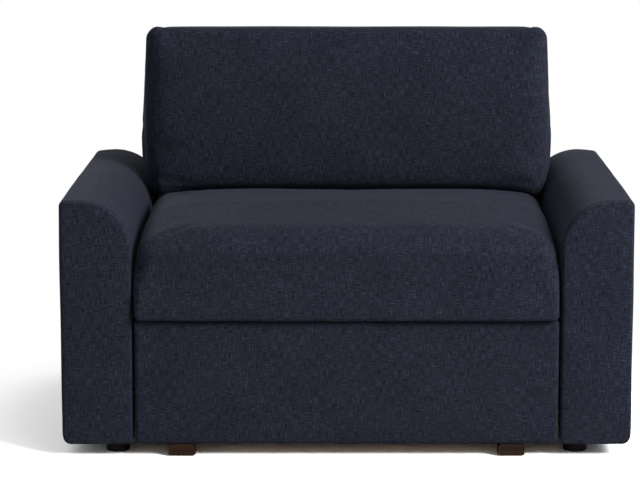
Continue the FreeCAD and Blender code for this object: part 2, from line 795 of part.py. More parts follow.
def seat_section(y, closing):
    """The seat's outline across the chair: a flat base, full sides and a crowned top."""
    span = value("seat_rear - front")
    share = (y - value("front")) / span
    rise = (value("seat_rear_top") - value("seat_edge_top")) * min(max(2 * share, 0), 1)
    lip, draw, radius = value("seat_lip_round"), value("seat_sag"), value("seat_edge_round")
    low = value("seat_base") + lip * closing
    top = value("seat_edge_top") + rise - value("seat_front_round") * closing
    crown = value("seat_crown") * math.sin(math.pi * min(max(share, 0), 1) / 2 + math.pi / 4)
    half = value("panel_half_width") - lip * closing - draw
    corner = radius * (1 - 0.5 ** 0.5)
    turn = top - radius
    flat = half - radius
    upper = [(half, turn), (half - corner, top - corner), (flat, top)]
    edges = [Part.LineSegment(FreeCAD.Vector(-half, y, low), FreeCAD.Vector(half, y, low)).toShape()]
    for points in (
        [(half, low), (half + draw, (low + turn) / 2), (half, turn)],
        upper,
        [(flat, top), (0, top + crown), (-flat, top)],
        [(-x, z) for x, z in reversed(upper)],
        [(-half, turn), (-half - draw, (low + turn) / 2), (-half, low)],
    ):
        edges.append(arc(*[FreeCAD.Vector(x, y, z) for x, z in points]))
    return Part.Wire(edges)


def seat_cushion():
    """The seat's foam and cover, bulging a little over the front panel and crowned on top."""
    depth = value("seat_round_depth")
    stops = rounded_run(value("front - seat_bulge"), value("seat_rear"), depth, depth)
    middle = (value("front + seat_rear") / 2, 0)
    stops.insert(len(stops) // 2, middle)
    form = doc.addObject("Part::Feature", "seat_form")
    form.Shape = Part.makeLoft([seat_section(y, closing) for y, closing in stops], True, True)
    gap = "pocket_gap"
    pocket = box("seat_pocket", (f"-rail_half_width - {gap}", f"rail_half_width + {gap}"),
                 (f"front - {gap}", "foot_end"), ("seat_base - seat_bulge", f"foot_top + {gap}"))
    keep(cut("seat_cushion", form, pocket))


def cushion_section(z, closing, fullness):
    """The back cushion's outline at a height: a flat back, slanting rear corners and a crowned front."""
    draw, corner = value("cushion_draw"), value("cushion_corner")
    half = value("panel_half_width") - draw * closing - draw / 2
    back = value("cushion_back")
    side_back, back_half = back - value("cushion_chamfer_depth"), half - value("cushion_chamfer_width")
    crown = value("cushion_crown") * fullness
    face = value("cushion_front + cushion_crown") + value("cushion_edge") * closing
    side_front, bend = face + corner, corner * (1 - 0.5 ** 0.5)
    bulged = half + draw / 2
    turn = [(half, side_front), (half - bend, face + bend), (half - corner, face)]
    corners = [(-half, side_back), (-back_half, back), (back_half, back), (half, side_back)]
    points = [FreeCAD.Vector(x, y, z) for x, y in corners]
    edges = [Part.LineSegment(first, second).toShape() for first, second in zip(points, points[1:])]
    for curve in (
        [(half, side_back), (bulged, (side_back + side_front) / 2), (half, side_front)],
        turn,
        [(half - corner, face), (0, face - crown), (corner - half, face)],
        [(-x, y) for x, y in reversed(turn)],
        [(-half, side_front), (-bulged, (side_back + side_front) / 2), (-half, side_back)],
    ):
        edges.append(arc(*[FreeCAD.Vector(x, y, z) for x, y in curve]))
    return Part.Wire(edges)


def back_cushion():
    """The loose back cushion, which stands in front of the head section."""
    low, high, edge = value("cushion_bottom"), value("cushion_top"), value("cushion_edge")
    stops = rounded_run(low, high, edge, edge)
    middle = ((low + high) / 2, 0)
    stops.insert(len(stops) // 2, middle)
    sections = [cushion_section(z, closing, 1 - abs(z - middle[0]) / (high - low)) for z, closing in stops]
    cushion = doc.addObject("Part::Feature", "back_cushion")
    cushion.Shape = Part.makeLoft(sections, True, True)
    keep(cushion)


# Checks and files

def check_document():
    """Stop if any object failed or any piece isn't a sound solid."""
    doc.recompute()
    for item in doc.Objects:
        if "Invalid" in item.State or "Error" in item.State:
            raise RuntimeError(f"{item.Name}: {item.State}")
    for piece in nodes:
        if piece.Shape.isNull() or not piece.Shape.isValid() or not piece.Shape.Solids:
            raise RuntimeError(f"{piece.Label} has no sound solid")


def write_parts():
    """Write each piece to a file with its label as name."""
    os.makedirs(PARTS_FOLDER, exist_ok=True)
    for piece in nodes:
        piece.Shape.exportStep(f"{PARTS_FOLDER}/{piece.Label}.step")


arm_cover()
arm_facing()
arm_frame()
arm_bases()
arm_feet()
base_rails()
arm_bolts()
back_frame()
back_covers()
back_wings()
pivot_brackets()
swing_arms()
head_section()
middle_section()
hinge_plates()
rollers()
front_panel()
wooden_feet()
foot_section()
fold_hinges()
folding_legs()
seat_cushion()
back_cushion()
check_document()
write_parts()
print(len(nodes), "pieces")
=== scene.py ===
"""Looks of a convertible chair bed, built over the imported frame. Metres, in the frame's own axes."""

import math

import bpy
import numpy as np
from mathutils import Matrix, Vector, noise
from mathutils.bvhtree import BVHTree


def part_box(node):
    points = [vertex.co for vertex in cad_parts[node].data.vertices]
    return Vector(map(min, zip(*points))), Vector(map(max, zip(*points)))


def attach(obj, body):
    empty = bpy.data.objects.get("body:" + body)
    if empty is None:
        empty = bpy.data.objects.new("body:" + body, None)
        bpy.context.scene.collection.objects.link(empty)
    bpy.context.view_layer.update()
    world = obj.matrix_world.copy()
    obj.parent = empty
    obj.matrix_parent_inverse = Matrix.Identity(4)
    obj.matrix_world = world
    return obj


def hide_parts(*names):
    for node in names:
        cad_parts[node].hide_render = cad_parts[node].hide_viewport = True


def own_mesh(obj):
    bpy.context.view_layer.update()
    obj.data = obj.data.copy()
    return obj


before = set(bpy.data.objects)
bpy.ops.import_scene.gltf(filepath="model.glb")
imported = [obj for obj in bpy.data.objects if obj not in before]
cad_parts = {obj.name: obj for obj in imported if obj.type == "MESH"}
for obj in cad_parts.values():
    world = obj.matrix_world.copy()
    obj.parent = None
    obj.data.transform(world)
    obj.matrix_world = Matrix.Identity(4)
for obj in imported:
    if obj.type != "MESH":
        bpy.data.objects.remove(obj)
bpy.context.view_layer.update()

X, Y, Z = 0, 1, 2
SIDES = (("right", 1), ("left", -1))


# Mesh building

LEAST_STEP = 0.0012  # stops nearer to each other than this become one
PROBE = 1e-5  # a short way across a section, along which its slope is measured
LEAST_SLOPE = 0.5
STEEP = 0.2  # a path whose level part is shorter than this counts as upright
TINY = 1e-9
NOISE_STEP = (3.7, 1.9, 5.3)  # how far apart two pieces' unevenness lies
CORD_SIDES = 8
CORNER_TURNS = 6

CLOTH_FRAMES = 20
CLOTH_QUALITY = 5
CLOTH_MASS = 0.3
CLOTH_STIFFNESS = 15.0
CLOTH_BENDING = 0.5
CLOTH_PRESSURE = 4.0


def progress(values, start, end):
    """How far values have come from a start to an end, from 0 to 1."""
    return np.clip((values - start) / (end - start), 0, 1)


def grid_stops(low, high, rounds_low, rounds_high, step):
    """Places along one side of a block, closer together in the rounds at its ends."""
    stops = [low, high]
    for end, sign, rounds in ((low, 1, rounds_low), (high, -1, rounds_high)):
        for radius in rounds:
            count = max(2, math.ceil(radius / step))
            stops += [end + sign * radius * number / count for number in range(1, count + 1)]
    first, last = low + max(rounds_low), high - max(rounds_high)
    count = max(1, round((last - first) / step))
    stops += [first + (last - first) * number / count for number in range(count + 1)]
    kept = []
    for stop in sorted(stops):
        if not kept or stop - kept[-1] > LEAST_STEP:
            kept.append(stop)
    kept[-1] = high
    return kept


def grid_surface(lines):
    """The outer points and faces of a block that is divided at the given places along each axis."""
    index, points, faces = {}, [], []

    def number_of(key):
        if key not in index:
            index[key] = len(points)
            points.append([lines[axis][key[axis]] for axis in range(3)])
        return index[key]

    for axis in range(3):
        first, second = (axis + 1) % 3, (axis + 2) % 3
        for end in (0, len(lines[axis]) - 1):
            for i in range(len(lines[first]) - 1):
                for j in range(len(lines[second]) - 1):
                    quad = []
                    for di, dj in ((0, 0), (1, 0), (1, 1), (0, 1)):
                        key = [0, 0, 0]
                        key[axis], key[first], key[second] = end, i + di, j + dj
                        quad.append(number_of(tuple(key)))
                    faces.append(quad if end else quad[::-1])
    return np.array(points), faces


def round_corner(across, along):
    """Two depths from the faces at a corner, as shares of its radius, moved onto a quarter circle."""
    return across * np.sqrt(1 - along**2 / 2), along * np.sqrt(1 - across**2 / 2)


def depth_inside(first, second, low, high, corners):
    """How deep points lie inside a rectangle with a rounding of its own at each corner."""
    middle = (low + high) / 2
    half = (high - low) / 2
    right, upper = first > middle[0], second > middle[1]
    radius = np.where(right, np.where(upper, corners[1][1], corners[1][0]),
                      np.where(upper, corners[0][1], corners[0][0]))
    across = np.abs(first - middle[0]) - half[0] + radius
    along = np.abs(second - middle[1]) - half[1] + radius
    outside = np.hypot(np.maximum(across, 0), np.maximum(along, 0))
    return radius - outside - np.minimum(np.maximum(across, along), 0)


def round_section(points, a, b, low, high, corners):
    """Move the points near the four corners of a section onto quarter circles."""
    for right in (0, 1):
        for upper in (0, 1):
            radius = corners[right][upper]
            corner = (high[a] if right else low[a], high[b] if upper else low[b])
            signs = (-1 if right else 1, -1 if upper else 1)
            across = 1 - (points[:, a] - corner[0]) * signs[0] / radius
            along = 1 - (points[:, b] - corner[1]) * signs[1] / radius
            inside = (across > 0) & (along > 0)
            across, along = round_corner(across[inside], along[inside])
            points[inside, a] = corner[0] + signs[0] * radius * (1 - across)
            points[inside, b] = corner[1] + signs[1] * radius * (1 - along)


def round_ends(points, a, b, run, low, high, corners, ends):
    """Move the points near the two ends of a block onto rounds that follow its section."""
    section = (low[[a, b]], high[[a, b]], corners)
    depth = depth_inside(points[:, a], points[:, b], *section)
    slope = [
        (depth_inside(points[:, a] + PROBE, points[:, b], *section) - depth) / PROBE,
        (depth_inside(points[:, a], points[:, b] + PROBE, *section) - depth) / PROBE,
    ]
    length = np.maximum(np.hypot(*slope), LEAST_SLOPE)
    upward = progress(points[:, b], low[b], high[b])
    for end, sign, (radius_low, radius_high) in ((low[run], 1, ends[0]), (high[run], -1, ends[1])):
        radius = radius_low + (radius_high - radius_low) * upward
        gone = (points[:, run] - end) * sign
        across, along = 1 - np.maximum(depth, 0) / radius, 1 - gone / radius
        inside = (across > 0) & (along > 0)
        across, along = round_corner(np.minimum(across[inside], 1), np.minimum(along[inside], 1))
        shift = radius[inside] * (1 - across) - depth[inside]
        points[inside, a] += slope[0][inside] / length[inside] * shift
        points[inside, b] += slope[1][inside] / length[inside] * shift
        points[inside, run] = end + sign * radius[inside] * (1 - along)


def soft_block(name, low, high, corners, ends, run, step):
    """A closed block with rounded edges: four radii for the corners of its section, and for each end along
    its run a radius at the section's bottom and one at its top."""
    a, b = [axis for axis in range(3) if axis != run]
    low, high = np.array(low, float), np.array(high, float)
    end_radii = [max(end) for end in ends]
    lines = [None] * 3
    lines[a] = grid_stops(low[a], high[a], [*corners[0], *end_radii], [*corners[1], *end_radii], step)
    sides = [[corners[0][side], corners[1][side], *end_radii] for side in (0, 1)]
    lines[b] = grid_stops(low[b], high[b], *sides, step)
    lines[run] = grid_stops(low[run], high[run], [end_radii[0]], [end_radii[1]], step)
    points, faces = grid_surface(lines)
    round_section(points, a, b, low, high, corners)
    round_ends(points, a, b, run, low, high, corners, ends)
    return mesh_piece(name, points, faces)


def mesh_piece(name, points, faces):
    """A smooth-shaded mesh object."""
    mesh = bpy.data.meshes.new(name)
    mesh.from_pydata([tuple(point) for point in points], [], faces)
    mesh.polygons.foreach_set("use_smooth", [True] * len(faces))
    mesh.update()
    piece = bpy.data.objects.new(name, mesh)
    bpy.context.scene.collection.objects.link(piece)
    return piece


def coordinates(mesh):
    """A mesh's points as an array."""
    flat = np.zeros(len(mesh.vertices) * 3)
    mesh.vertices.foreach_get("co", flat)
    return flat.reshape(-1, 3)


def normals(mesh):
    """A mesh's point normals as an array."""
    flat = np.zeros(len(mesh.vertices) * 3, np.float32)
    mesh.vertex_normals.foreach_get("vector", flat)
    return flat.reshape(-1, 3).astype(float)


def move_points(mesh, points):
    """Put a mesh's points somewhere else."""
    mesh.vertices.foreach_set("co", points.ravel())
    mesh.update()


def crown(piece, axis, height, power):
    """Swell the side that faces along an axis, most in its middle and, at a high power, evenly up to its edges.
    A negative height swells the opposite side."""
    points, facing = coordinates(piece.data), normals(piece.data)
    low, high = points.min(0), points.max(0)
    weight = np.maximum(facing[:, axis] * math.copysign(1, height), 0)
    for other in range(3):
        if other != axis:
            place = np.abs(2 * (points[:, other] - low[other]) / (high[other] - low[other]) - 1)
            weight = weight * (1 - np.minimum(place, 1) ** power)
    points[:, axis] += height * weight
    move_points(piece.data, points)


def unevenness(piece, size, height, seed):
    """Slight hollows and swellings, as in stuffed fabric."""
    points, facing = coordinates(piece.data), normals(piece.data)
    offset = Vector([seed * step for step in NOISE_STEP])
    lift = np.array([noise.noise(Vector(point) / size + offset) for point in points])
    move_points(piece.data, points + facing * (lift * height)[:, None])


def settle(piece):
    """Make what the modifiers give the piece's own mesh."""
    bpy.context.view_layer.update()
    shown = piece.evaluated_get(bpy.context.evaluated_depsgraph_get())
    mesh = bpy.data.meshes.new_from_object(shown)
    piece.modifiers.clear()
    piece.data = mesh
    mesh.polygons.foreach_set("use_smooth", [True] * len(mesh.polygons))


def refine(piece):
    """One step of subdivision, kept in the mesh."""
    piece.modifiers.new("Fine", "SUBSURF").levels = 1
    settle(piece)


def carve(piece, tool):
    """Cut one closed form out of another."""
    change = piece.modifiers.new("Pocket", "BOOLEAN")
    change.operation, change.solver, change.object = "DIFFERENCE", "EXACT", tool
    settle(piece)
    bpy.data.objects.remove(tool)


def inflate(piece, held, reach):
    """Swell the piece as stuffed cloth while the held points stay, then limit how far each point went."""
    rest = coordinates(piece.data)
    group = piece.vertex_groups.new(name="held")
    group.add([int(number) for number in np.nonzero(held)[0]], 1.0, "REPLACE")
    cloth = piece.modifiers.new("Cloth", "CLOTH")
    settings = cloth.settings
    settings.quality = CLOTH_QUALITY
    settings.mass = CLOTH_MASS
    settings.tension_stiffness = settings.compression_stiffness = CLOTH_STIFFNESS
    settings.shear_stiffness = CLOTH_STIFFNESS / 3
    settings.bending_stiffness = CLOTH_BENDING
    settings.use_pressure = True
    settings.uniform_pressure_force = CLOTH_PRESSURE
    settings.vertex_group_mass = "held"
    settings.effector_weights.gravity = 0
    cloth.collision_settings.use_collision = False
    cloth.point_cache.frame_start, cloth.point_cache.frame_end = 1, CLOTH_FRAMES
    for number in range(1, CLOTH_FRAMES + 1):
        bpy.context.scene.frame_set(number)
    shown = piece.evaluated_get(bpy.context.evaluated_depsgraph_get())
    moved = coordinates(shown.data) - rest
    piece.modifiers.remove(cloth)
    piece.vertex_groups.clear()
    bpy.context.scene.frame_set(1)
    length = np.linalg.norm(moved, axis=1)
    scale = reach * np.tanh(length / reach) / np.maximum(length, TINY)
    move_points(piece.data, rest + moved * scale[:, None])


def cord_loop(name, path, radius):
    """A round cord along a closed path."""
    points, faces = [], []
    count = len(path)
    for number, point in enumerate(path):
        ahead = (path[(number + 1) % count] - path[number - 1]).normalized()
        across = ahead.cross(Vector((0, 0, 1)))
        if across.length < STEEP:
            across = ahead.cross(Vector((0, 1, 0)))
        across.normalize()
        over = across.cross(ahead)
        for side in range(CORD_SIDES):
            angle = 2 * math.pi * side / CORD_SIDES
            points.append(point + radius * (math.cos(angle) * across + math.sin(angle) * over))
    for number in range(count):
        here, after = number * CORD_SIDES, (number + 1) % count * CORD_SIDES
        for side in range(CORD_SIDES):
            beside = (side + 1) % CORD_SIDES
            faces.append([here + side, here + beside, after + beside, after + side])
    return mesh_piece(name, points, faces)


def outline(low, high, radius, spacing):
    """Points round a rectangle with rounded corners."""
    left, right = low[0] + radius, high[0] - radius
    bottom, top = low[1] + radius, high[1] - radius
    points = []
    for quarter, (first, second) in enumerate(((right, top), (left, top), (left, bottom), (right, bottom))):
        for turn in range(CORNER_TURNS + 1):
            angle = math.pi / 2 * (quarter + turn / CORNER_TURNS)
            points.append((first + radius * math.cos(angle), second + radius * math.sin(angle)))
    filled = []
    for number, point in enumerate(points):
        after = points[(number + 1) % len(points)]
        count = max(1, round(math.dist(point, after) / spacing))
        filled += [tuple(p + (q - p) * part / count for p, q in zip(point, after)) for part in range(count)]
    return filled


def piping(name, piece, path, radius):
    """A sewn edge that follows the surface of a piece near the given path."""
    tree = BVHTree.FromPolygons([vertex.co for vertex in piece.data.vertices],
                                [polygon.vertices[:] for polygon in piece.data.polygons])
    return cord_loop(name, [tree.find_nearest(Vector(point))[0] for point in path], radius)


# Materials

def colour(red, green, blue):
    """A screen colour from 0 to 255 as the renderer's own values."""
    parts = [part / 255 for part in (red, green, blue)]
    return (*[part / 12.92 if part <= 0.04045 else ((part + 0.055) / 1.055) ** 2.4 for part in parts], 1)


WHITE = colour(255, 255, 255)
TWEED_TONES = ((0.50, colour(36, 39, 51)), (0.64, colour(44, 47, 60)), (0.78, colour(66, 70, 84)))
# Painted shade: the cloth's tones are darkened where both threads lie low, in the hollows of the weave.
TWEED_HOLLOW_SHADE = ((0.28, colour(165, 165, 171)), (0.42, WHITE))
TWEED_CLOUDS = ((0.3, colour(232, 233, 236)), (0.7, WHITE))
TWEED_SHEEN = colour(170, 176, 196)
TWEED_PITCH = 0.0026
WARP_SCALE = (440, 48, 1)
WEFT_SCALE = (62, 440, 1)
CLOUD_SCALE = (9, 9, 1)
TICKING_TONES = ((0.3, colour(196, 193, 186)), (0.75, colour(221, 219, 213)))
BINDING_TONES = ((0.3, colour(112, 118, 130)), (0.75, colour(150, 155, 166)))
STRIPE_TONES = ((0.05, colour(150, 158, 174)), (0.10, WHITE))
STRIPE_PITCH = 0.024
TICKING_PITCH = 0.0016
TICKING_SCALE = (700, 700, 1)
PORE_TONES = ((0.3, colour(190, 186, 180)), (0.5, WHITE))
PORE_SCALE = (30.0, 900.0)  # along the grain and across it
GRAIN_SCALE = (2.5, 55.0)
GRAIN_STOPS = (0.32, 0.5, 0.7)
GRAIN_BEND = 0.05
WORN = 1.35  # how much lighter the worn patches of a coated surface are
GLOSS_SPREAD = 0.12


class Shader:
    """The nodes of a material or a world under construction."""

    def __init__(self, owner):
        self.owner = owner
        owner.use_nodes = True
        self.tree = owner.node_tree
        self.tree.nodes.clear()

    def node(self, kind, *inputs, **settings):
        """Add a node. Its inputs are given in order or by name, each a value or another node's output."""
        made = self.tree.nodes.new("ShaderNode" + kind)
        named = settings.pop("named", {})
        for key, setting in settings.items():
            setattr(made, key, setting)
        for key, given in [*enumerate(inputs), *named.items()]:
            if isinstance(given, bpy.types.NodeSocket):
                self.tree.links.new(given, made.inputs[key])
            elif given is not None:
                made.inputs[key].default_value = given
        return made

    def math(self, operation, *inputs):
        """The result of a sum on single values."""
        return self.node("Math", *inputs, operation=operation).outputs[0]

    def vector(self, operation, *inputs):
        """The result of a sum on vectors."""
        return self.node("VectorMath", *inputs, operation=operation).outputs[0]

    def speckle(self, vector, scale, detail, rough=0.5):
        """Noise with its own scale along each axis."""
        place = self.vector("MULTIPLY", vector, scale)
        named = {"Vector": place, "Scale": 1.0, "Detail": detail, "Roughness": rough}
        return self.node("TexNoise", named=named).outputs["Fac"]

    def ramp(self, share, stops):
        """Colours set along a share from 0 to 1."""
        made = self.node("ValToRGB", share)
        elements = made.color_ramp.elements
        while len(elements) < len(stops):
            elements.new(0.5)
        for element, (place, tone) in zip(elements, stops):
            element.position, element.color = place, tone
        return made.outputs["Color"]

    def blend(self, share, first, second, mode="MIX"):
        """Two colours mixed."""
        return self.node("MixRGB", share, first, second, blend_type=mode).outputs[0]

    def bump(self, height, strength, distance):
        """A surface roughened by a height."""
        return self.node("Bump", named={"Height": height, "Strength": strength, "Distance": distance}).outputs[0]

    def seen_directly(self):
        """Whether a ray comes from the camera, also by way of a mirror or through glass."""
        rays = self.node("LightPath").outputs
        seen = rays["Is Camera Ray"]
        for ray in ("Is Glossy Ray", "Is Transmission Ray"):
            seen = self.math("MAXIMUM", seen, rays[ray])
        return seen

    def surface(self, base, normal, **values):
        """Finish with the main shader. Names of its inputs are written with underscores."""
        named = {"Base Color": base, "Normal": normal}
        named |= {key.replace("_", " "): given for key, given in values.items()}
        shader = self.node("BsdfPrincipled", named=named)
        self.node("OutputMaterial", shader.outputs[0])
        return self.owner


def new_material(name):
    """The shader of a new material."""
    return Shader(bpy.data.materials.new(name))


def cloth_plane(shader):
    """Two coordinates that lie in the surface, whichever way it faces, and both as one vector."""
    where = shader.node("TexCoord")
    place = shader.node("SeparateXYZ", where.outputs["Object"]).outputs
    normal = shader.node("SeparateXYZ", where.outputs["Normal"]).outputs
    facing = [shader.math("ABSOLUTE", part) for part in normal]
    sideways = shader.math("GREATER_THAN", facing[X], shader.math("MAXIMUM", facing[Y], facing[Z]))
    level = shader.math("GREATER_THAN", facing[Z], shader.math("MAXIMUM", facing[X], facing[Y]))

    def pick(share, first, second):
        return shader.math("ADD", first, shader.math("MULTIPLY", share, shader.math("SUBTRACT", second, first)))

    across, along = pick(sideways, place[X], place[Y]), pick(level, place[Z], place[Y])
    return across, along, shader.node("CombineXYZ", across, along, 0.0).outputs[0]


def woven(shader, across, along, pitch, share, fibres):
    """The height of a plain weave with the fibres of its threads."""
    waves = [shader.math("SINE", shader.math("MULTIPLY", way, 2 * math.pi / pitch)) for way in (across, along)]
    weave = shader.math("MULTIPLY", *waves)
    return shader.math("ADD", shader.math("MULTIPLY", weave, share), fibres)


def tweed():
    """Dark navy cloth with fine slubs and lighter flecks along its threads, and painted shade in the hollows
    between them.
    """
    shader = new_material("navy_tweed")
    across, along, plane = cloth_plane(shader)
    warp = shader.speckle(plane, WARP_SCALE, detail=1.0)
    weft = shader.speckle(plane, WEFT_SCALE, detail=1.0)
    light = shader.math("MAXIMUM", warp, weft)
    dark = shader.math("MINIMUM", warp, weft)
    # painted shade in the weave's hollows is multiplied into the cloth's tones
    base = shader.blend(1.0, shader.ramp(light, TWEED_TONES), shader.ramp(dark, TWEED_HOLLOW_SHADE), "MULTIPLY")
    clouds = shader.ramp(shader.speckle(plane, CLOUD_SCALE, detail=3.0), TWEED_CLOUDS)
    base = shader.blend(1.0, base, clouds, "MULTIPLY")
    height = woven(shader, across, along, TWEED_PITCH, 0.25, light)
    return shader.surface(base, shader.bump(height, 0.35, 0.0008), Roughness=0.95, Specular_IOR_Level=0.08,
                          Sheen_Weight=0.07, Sheen_Roughness=0.5, Sheen_Tint=TWEED_SHEEN)


def ticking(name, tones, striped):
    """Closely woven cotton, with or without thin grey-blue stripes."""
    shader = new_material(name)
    across, along, plane = cloth_plane(shader)
    grain = shader.speckle(plane, TICKING_SCALE, detail=2.0)
    base = shader.ramp(grain, tones)
    if striped:
        wave = shader.math("SINE", shader.math("MULTIPLY", across, math.pi / STRIPE_PITCH))
        stripes = shader.ramp(shader.math("ABSOLUTE", wave), STRIPE_TONES)
        base = shader.blend(0.8, base, stripes, "MULTIPLY")
    height = woven(shader, across, along, TICKING_PITCH, 0.3, grain)
    return shader.surface(base, shader.bump(height, 0.3, 0.0005), Roughness=0.9, Specular_IOR_Level=0.2,
                          Sheen_Weight=0.15, Sheen_Roughness=0.5)


def timber(name, tones, axis, rough, fine=1.0, shine=0.5):
    """Wood with its grain along one axis."""
    shader = new_material(f"{name}_{'xyz'[axis]}")
    place = shader.node("TexCoord").outputs["Object"]

    def grained(along, across):
        return [along if way == axis else across for way in range(3)]

    bend = shader.speckle(place, (3, 3, 3), detail=2.0)
    bends = shader.node("CombineXYZ", bend, bend, bend).outputs[0]
    sway = shader.vector("MULTIPLY", bends, grained(0, GRAIN_BEND))
    stretch = grained(GRAIN_SCALE[0], GRAIN_SCALE[1] * fine)
    grain = shader.speckle(shader.vector("ADD", place, sway), stretch, detail=4.0, rough=0.65)
    pores = shader.speckle(place, grained(*PORE_SCALE), detail=1.0)
    base = shader.ramp(grain, list(zip(GRAIN_STOPS, tones)))
    base = shader.blend(0.5, base, shader.ramp(pores, PORE_TONES), "MULTIPLY")
    return shader.surface(base, shader.bump(shader.math("ADD", grain, pores), 0.25, 0.0004), Roughness=rough,
                          Specular_IOR_Level=shine)


def coated(name, tone, rough, grain, strength, metal=0.0, shine=0.5):
    """A coated or moulded surface, with a fine grain and slightly uneven gloss."""
    shader = new_material(name)
    place = shader.node("TexCoord").outputs["Object"]
    skin = shader.speckle(place, (grain, grain, grain), detail=1.0)
    patches = shader.speckle(place, (14, 14, 14), detail=4.0, rough=0.6)
    worn = (*[min(1, part * WORN) for part in tone[:3]], 1)
    base = shader.ramp(patches, ((0.35, tone), (0.75, worn)))
    gloss = shader.math("ADD", shader.math("MULTIPLY", patches, 2 * GLOSS_SPREAD), rough - GLOSS_SPREAD)
    return shader.surface(base, shader.bump(skin, strength, 0.0003), Roughness=gloss, Metallic=metal,
                          Specular_IOR_Level=shine)


TIMBERS = {
    "plywood": dict(tones=(colour(176, 141, 97), colour(196, 163, 118), colour(208, 178, 134)), rough=0.7),
    "softwood": dict(tones=(colour(178, 136, 84), colour(204, 168, 118), colour(216, 184, 138)), rough=0.7,
                     fine=0.7),
    "dark_wood": dict(tones=(colour(30, 17, 9), colour(46, 28, 16), colour(58, 37, 22)), rough=0.55, fine=1.3,
                      shine=0.15),
}
COATINGS = {
    "hardboard": dict(name="black_hardboard", tone=colour(33, 33, 34), rough=0.85, grain=500.0, strength=0.5),
    "black_plastic": dict(name="black_plastic", tone=colour(20, 17, 15), rough=0.55, grain=1200.0, strength=0.3,
                          shine=0.15),
    "grey_steel": dict(name="grey_steel", tone=colour(92, 94, 98), rough=0.5, grain=700.0, strength=0.3,
                       metal=0.2),
    "bright_steel": dict(name="zinc_steel", tone=colour(176, 177, 178), rough=0.34, grain=1500.0, strength=0.1,
                         metal=1.0),
}


# Camera, light and floor

LENS = 152.9
LENS_SHIFT = -0.0416
CAMERA_PLACE = (0, -6.612, 1.516)
CAMERA_TILT = 80.685  # degrees up from straight down
DOME = 0.3
LAMPS = {  # place, aim, width, depth, power
    "key": ((4.6, -3.9, 4.0), (0, 0, 0.4), 2.6, 2.6, 450),
    "side": ((5.8, -2.1, 3.6), (0, 0, 0.4), 2.4, 2.4, 70),
    "rear": ((-2.8, 5.6, 2.9), (0, 0, 0.5), 3.0, 3.0, 45),
}
FLOOR_REACH = 40
FLOOR_TONE = 3.0  # as the camera sees it
FLOOR_BOUNCE = 0.6  # as the object receives light from it
FLOOR_FADE = (0.80, 1.05)  # how far out the floor turns into plain white


def studio():
    """The photograph's view, a white floor and soft light from above and from the right."""
    bpy.context.scene.view_settings.view_transform = "Standard"
    camera()
    sky()
    lamps()
    floor()


def camera():
    """The photograph's view."""
    scene = bpy.context.scene
    holder = bpy.data.objects.new("camera", bpy.data.cameras.new("camera"))
    holder.data.lens = LENS
    holder.data.shift_x = LENS_SHIFT
    holder.location = CAMERA_PLACE
    holder.rotation_euler = (math.radians(CAMERA_TILT), 0, 0)
    scene.collection.objects.link(holder)
    scene.camera = holder


def sky():
    """An even dome of light that is white where it is seen."""
    bpy.context.scene.world = bpy.data.worlds.new("studio")
    shader = Shader(bpy.context.scene.world)
    domes = [shader.node("Background", (1, 1, 1, 1), strength).outputs[0] for strength in (DOME, 1.0)]
    shader.node("OutputWorld", shader.node("MixShader", shader.seen_directly(), *domes).outputs[0])


def lamps():
    """Square lamps, each turned towards the chair."""
    for name, (place, aim, width, depth, power) in LAMPS.items():
        lamp = bpy.data.lights.new(name, "AREA")
        lamp.shape = "RECTANGLE"
        lamp.size, lamp.size_y, lamp.energy = width, depth, power
        holder = bpy.data.objects.new(name, lamp)
        holder.location = place
        holder.rotation_euler = (Vector(aim) - Vector(place)).to_track_quat("-Z", "Y").to_euler()
        bpy.context.scene.collection.objects.link(holder)


def floor():
    """A white floor that keeps the chair's shadow and is lost in the white further out."""
    corners = [(-1, -1), (1, -1), (1, 1), (-1, 1)]
    points = [(x * FLOOR_REACH, y * FLOOR_REACH, 0) for x, y in corners]
    ground = mesh_piece("floor", points, [[0, 1, 2, 3]])
    shader = new_material("floor")
    from_camera = shader.node("LightPath").outputs["Is Camera Ray"]
    tone = shader.blend(from_camera, *[(value, value, value, 1) for value in (FLOOR_BOUNCE, FLOOR_TONE)])
    place = shader.node("TexCoord").outputs["Object"]
    away = shader.node("VectorMath", place, operation="LENGTH").outputs["Value"]
    fade = shader.node("MapRange", away, *FLOOR_FADE).outputs[0]
    far = shader.math("MULTIPLY", shader.seen_directly(), fade)
    white = shader.node("Emission", (1, 1, 1, 1), 1.0).outputs[0]
    lit = shader.node("BsdfDiffuse", tone).outputs[0]
    shader.node("OutputMaterial", shader.node("MixShader", far, lit, white).outputs[0])
    ground.data.materials.append(shader.owner)


# Pieces

def dress(piece, body, material, slot, *nodes):
    """Give a piece its material and its body, and hide the nodes that it stands for."""
    piece.data.materials.clear()
    piece.data.materials.append(material)
    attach(piece, body)
    if nodes:
        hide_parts(*nodes)


def same_corners(radius):
    """The same rounding at all four corners of a section."""
    return ((radius, radius), (radius, radius))


def same_ends(front, rear):
    """A rounding for each end of a block, even from its bottom to its top."""
    return ((front, front), (rear, rear))


def flipped(corners, side):
    """The corners of the right-hand piece, or swapped over for the left-hand one."""
    return corners if side > 0 else corners[::-1]


def span(side, low, high):
    """A stretch along x on the right, or its twin on the left."""
    return (low, high) if side > 0 else (-high, -low)


# The right arm's roundings, at the bottom and the top of its inner side and then of its outer side.
ARM_CORNERS = ((0.012, 0.115), (0.020, 0.014))
FACING_CORNERS = ((0.011, 0.1135), (0.0185, 0.0125))
# Where the top of an arm starts and ends to change its form: along y, along z, and outwards from the middle.
ARM_REAR = (-0.2, 0.35)
ARM_TOP = (0.44, 0.52)
ARM_INSIDE, ARM_LIFT = (0.609, 0.494), 0.014
ARM_OUTSIDE, ARM_DROP = (0.59, 0.66), 0.006
FACING_OVERLAP = 0.002
FACING_INSET = 0.0015


